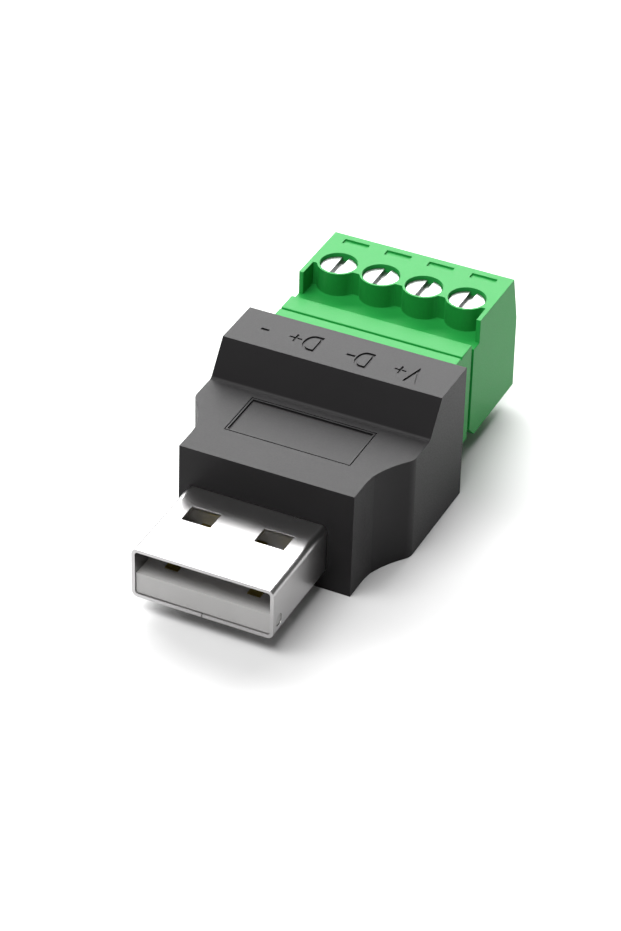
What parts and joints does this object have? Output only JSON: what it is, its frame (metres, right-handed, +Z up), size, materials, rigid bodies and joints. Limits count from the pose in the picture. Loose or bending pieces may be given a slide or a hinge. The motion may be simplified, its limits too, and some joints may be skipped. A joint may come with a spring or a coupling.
{
  "type": "usb-a plug",
  "caption": "Type A plug adapter in a black housing with a green pluggable screw terminal block for bare wires.",
  "frame": {"origin": "middle of the part's length and width, on the housing's underside", "axes": "+Z up, -Y the plug's end, +Y the wires' end, X across the width"},
  "size_m": [0.019, 0.0398, 0.0126],
  "materials": {
    "shell_metal": "bright nickel plate",
    "carrier_plastic": "matt moulded",
    "contact_gold": "gold plate",
    "housing_plastic": "satin moulded black",
    "board": "solder mask",
    "header_plastic": "semi-gloss moulded",
    "pin_metal": "tin plate",
    "block_plastic": "semi-gloss moulded",
    "socket_brass": "bright",
    "cage_metal": "nickel plate",
    "screw_metal": "zinc plate"
  },
  "bodies": {
    "adapter": {"usb_shell": "shell_metal", "contact_carrier": "carrier_plastic", "usb_contact_1": "contact_gold", "usb_contact_2": "contact_gold", "usb_contact_3": "contact_gold", "usb_contact_4": "contact_gold", "housing": "housing_plastic", "base_cover": "housing_plastic", "circuit_board": "board", "header": "header_plastic", "header_pin_1": "pin_metal", "header_pin_2": "pin_metal", "header_pin_3": "pin_metal", "header_pin_4": "pin_metal"},
    "plug_block": {"terminal_block": "block_plastic", "socket_1": "socket_brass", "socket_2": "socket_brass", "socket_3": "socket_brass", "socket_4": "socket_brass"},
    "screw_1": {"clamp_screw_1": "screw_metal"},
    "cage_1": {"clamp_cage_1": "cage_metal"},
    "screw_2": {"clamp_screw_2": "screw_metal"},
    "cage_2": {"clamp_cage_2": "cage_metal"},
    "screw_3": {"clamp_screw_3": "screw_metal"},
    "cage_3": {"clamp_cage_3": "cage_metal"},
    "screw_4": {"clamp_screw_4": "screw_metal"},
    "cage_4": {"clamp_cage_4": "cage_metal"}
  },
  "joints": [
    {"name": "block_slide", "type": "slide", "parent": "adapter", "child": "plug_block", "axis": [0, 1, 0], "range_m": [0, 0.007]},
    {"name": "screw_1_turn", "type": "hinge", "parent": "plug_block", "child": "screw_1", "pos_m": [-0.00571, 0.01438, 0.0116], "axis": [0, 0, -1], "range_deg": [0, 1620]},
    {"name": "cage_1_rise", "type": "slide", "parent": "plug_block", "child": "cage_1", "axis": [0, 0, 1], "range_m": [0, 0.0018]},
    {"name": "screw_2_turn", "type": "hinge", "parent": "plug_block", "child": "screw_2", "pos_m": [-0.00191, 0.01438, 0.0116], "axis": [0, 0, -1], "range_deg": [0, 1620]},
    {"name": "cage_2_rise", "type": "slide", "parent": "plug_block", "child": "cage_2", "axis": [0, 0, 1], "range_m": [0, 0.0018]},
    {"name": "screw_3_turn", "type": "hinge", "parent": "plug_block", "child": "screw_3", "pos_m": [0.00191, 0.01438, 0.0116], "axis": [0, 0, -1], "range_deg": [0, 1620]},
    {"name": "cage_3_rise", "type": "slide", "parent": "plug_block", "child": "cage_3", "axis": [0, 0, 1], "range_m": [0, 0.0018]},
    {"name": "screw_4_turn", "type": "hinge", "parent": "plug_block", "child": "screw_4", "pos_m": [0.00571, 0.01438, 0.0116], "axis": [0, 0, -1], "range_deg": [0, 1620]},
    {"name": "cage_4_rise", "type": "slide", "parent": "plug_block", "child": "cage_4", "axis": [0, 0, 1], "range_m": [0, 0.0018]}
  ],
  "couplings": [
    {"joint": "screw_1_turn", "follows": "cage_1_rise", "rad_per_m": 15708},
    {"joint": "screw_2_turn", "follows": "cage_2_rise", "rad_per_m": 15708},
    {"joint": "screw_3_turn", "follows": "cage_3_rise", "rad_per_m": 15708},
    {"joint": "screw_4_turn", "follows": "cage_4_rise", "rad_per_m": 15708}
  ]
}
